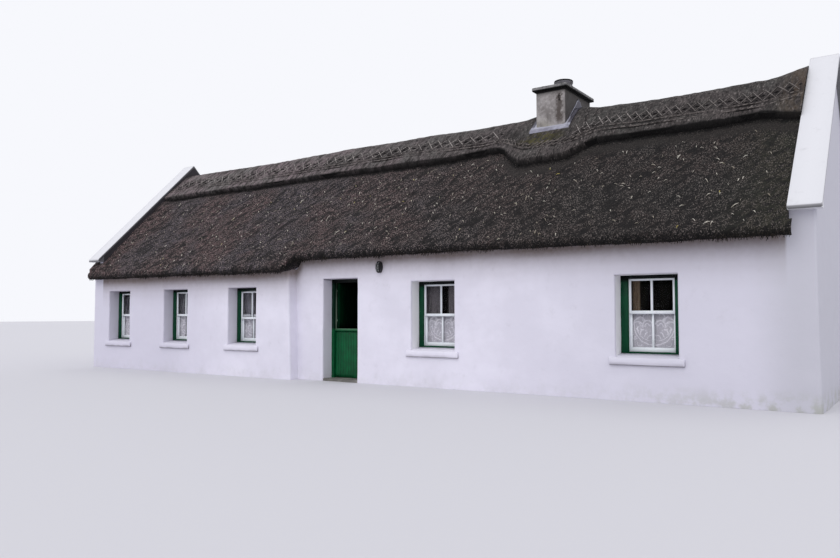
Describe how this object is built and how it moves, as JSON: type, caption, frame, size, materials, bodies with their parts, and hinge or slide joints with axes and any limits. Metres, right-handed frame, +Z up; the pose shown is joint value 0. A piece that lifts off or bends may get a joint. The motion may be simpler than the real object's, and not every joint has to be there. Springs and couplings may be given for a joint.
{
  "type": "thatched cottage",
  "caption": "Long low thatched cottage with limewashed walls, half door, sash windows, gable copings and a chimney on the ridge; hollow inside.",
  "frame": {"origin": "on the ground under the middle of the ridge, centre of the whole footprint", "axes": "+X along the front wall to the viewer's right, the front faces -Y, +Z up"},
  "size_m": [16.54, 6.008, 5.9446],
  "materials": {
    "limewash": "uneven limewashed render on rubble masonry",
    "floor_cement": "floated cement",
    "thatch": "weathered reed thatch, rough, with pale flecks",
    "ridge_thatch": "greyer reed ridge with crossed spars",
    "coping_white": "flat white painted coping",
    "chimney_cement": "weather-stained cement render",
    "pot_clay": "sooty fired clay",
    "lead": "dull lead sheet",
    "green_paint": "dark green gloss paint on wood",
    "white_paint": "white gloss paint on wood",
    "window_glass": "clear float glass",
    "lace": "machine lace",
    "lamp_metal": "dark painted casting",
    "lamp_frosted": "frosted glass"
  },
  "bodies": {
    "house": {"front_wall_left": "limewash", "front_wall_middle": "limewash", "front_wall_door_head": "limewash", "front_wall_right": "limewash", "back_wall_left": "limewash", "back_wall_right": "limewash", "gable_wall_left": "limewash", "gable_wall_right": "limewash", "floor_slab": "floor_cement", "door_threshold": "floor_cement", "thatch_front": "thatch", "thatch_back": "thatch", "ridge_block": "ridge_thatch", "coping_left": "coping_white", "coping_right": "coping_white", "chimney_breast": "chimney_cement", "chimney_stack": "chimney_cement", "chimney_cap": "chimney_cement", "chimney_pot": "pot_clay", "chimney_flashing": "lead", "door_frame": "green_paint", "upper_door": "green_paint", "lamp_plate": "lamp_metal", "lamp_glass": "lamp_frosted", "window_1_joinery": "white_paint", "window_1_glass": "window_glass", "window_1_curtain": "lace", "window_2_joinery": "white_paint", "window_2_glass": "window_glass", "window_2_curtain": "lace", "window_3_joinery": "white_paint", "window_3_glass": "window_glass", "window_3_curtain": "lace", "window_4_joinery": "white_paint", "window_4_glass": "window_glass", "window_4_curtain": "lace", "window_5_joinery": "white_paint", "window_5_glass": "window_glass", "window_5_curtain": "lace", "back_window_1_joinery": "white_paint", "back_window_1_glass": "window_glass", "back_window_2_joinery": "white_paint", "back_window_2_glass": "window_glass", "back_window_3_joinery": "white_paint", "back_window_3_glass": "window_glass"},
    "lower_door": {"lower_door": "green_paint"}
  },
  "joints": [
    {"name": "lower_door_hinge", "type": "hinge", "parent": "house", "child": "lower_door", "pos_m": [-0.5702, -2.148, 0.5], "axis": [0, 0, 1], "range_deg": [0, 90]}
  ]
}
